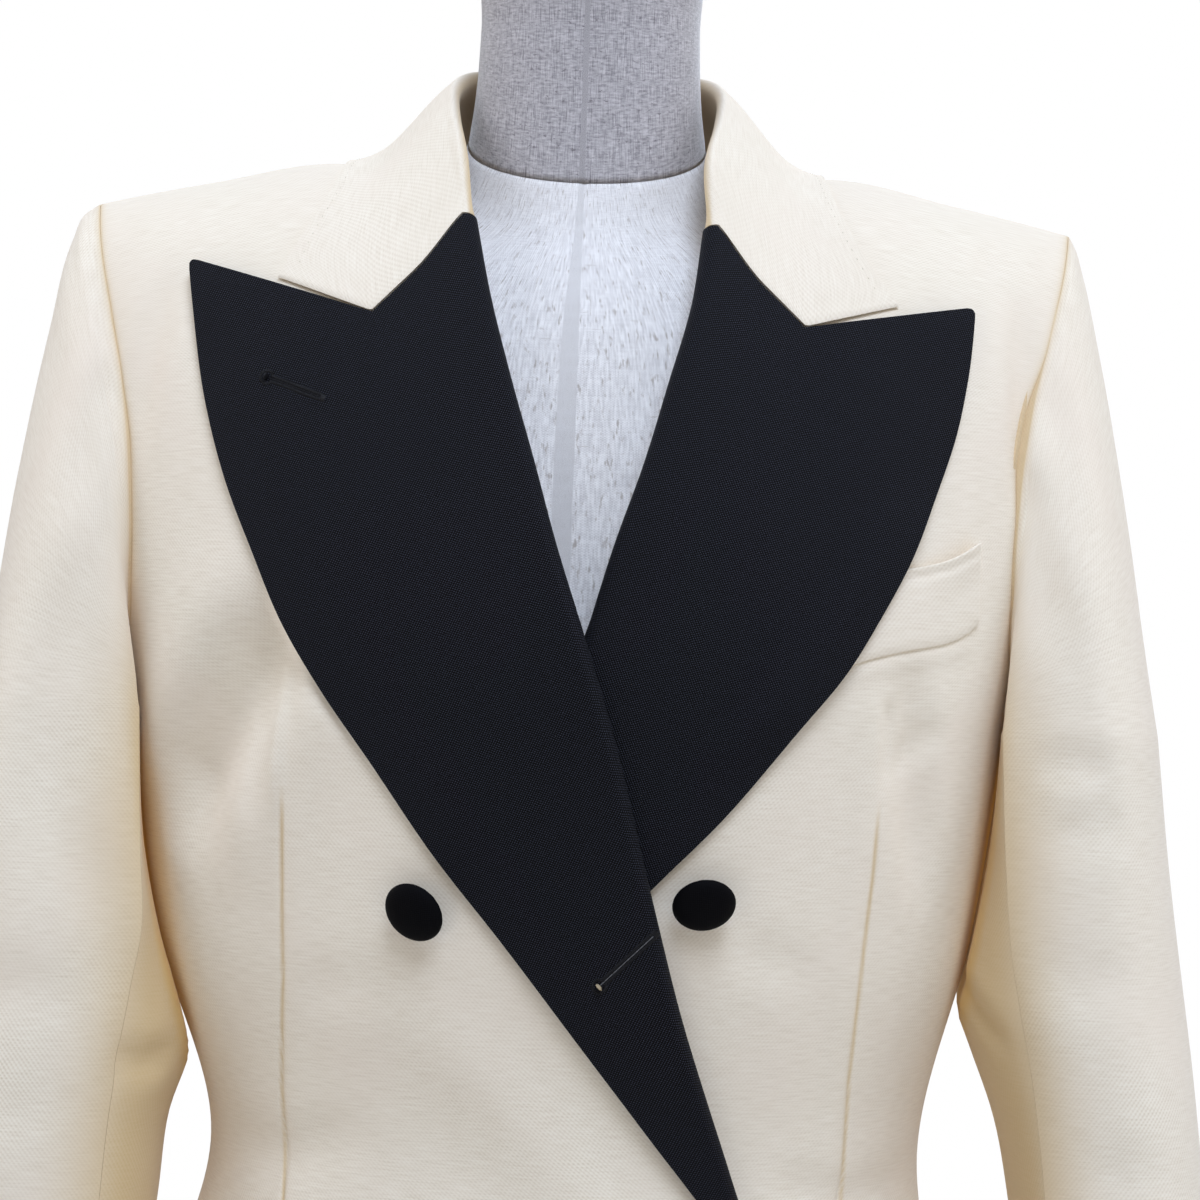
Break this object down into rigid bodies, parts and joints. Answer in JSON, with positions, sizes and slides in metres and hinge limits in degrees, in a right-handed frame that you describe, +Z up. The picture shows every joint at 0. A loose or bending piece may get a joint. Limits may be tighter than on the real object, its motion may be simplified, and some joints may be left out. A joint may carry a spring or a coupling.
{
  "type": "double breasted blazer on a dress form",
  "caption": "Cream double breasted blazer with wide black peak lapels and covered buttons, worn by a limbless dress form on a round stand.",
  "frame": {"origin": "on the floor, under the middle of the stand's base", "axes": "+Z up, -Y towards the front of the blazer, +X towards the wearer's left"},
  "size_m": [0.57, 0.34, 1.496],
  "materials": {
    "cream_cloth": "matte woven wool",
    "black_cloth": "fine matte barathea",
    "linen": "matte woven linen",
    "neck_linen": "matte woven linen",
    "dark_metal": "satin black",
    "beech": "satin varnish"
  },
  "bodies": {
    "root": {"front_right": "cream_cloth", "front_left": "cream_cloth", "back_right": "cream_cloth", "back_left": "cream_cloth", "top_sleeve_right": "cream_cloth", "top_sleeve_left": "cream_cloth", "under_sleeve_right": "cream_cloth", "under_sleeve_left": "cream_cloth", "collar": "cream_cloth", "pocket_welt": "cream_cloth", "lapel_right": "black_cloth", "lapel_left": "black_cloth", "button_show_right": "black_cloth", "button_show_left": "black_cloth", "button_close_right": "black_cloth", "button_close_left": "black_cloth", "form_torso": "linen", "form_neck": "neck_linen", "base": "dark_metal", "pole": "dark_metal", "socket": "beech"}
  },
  "joints": []
}
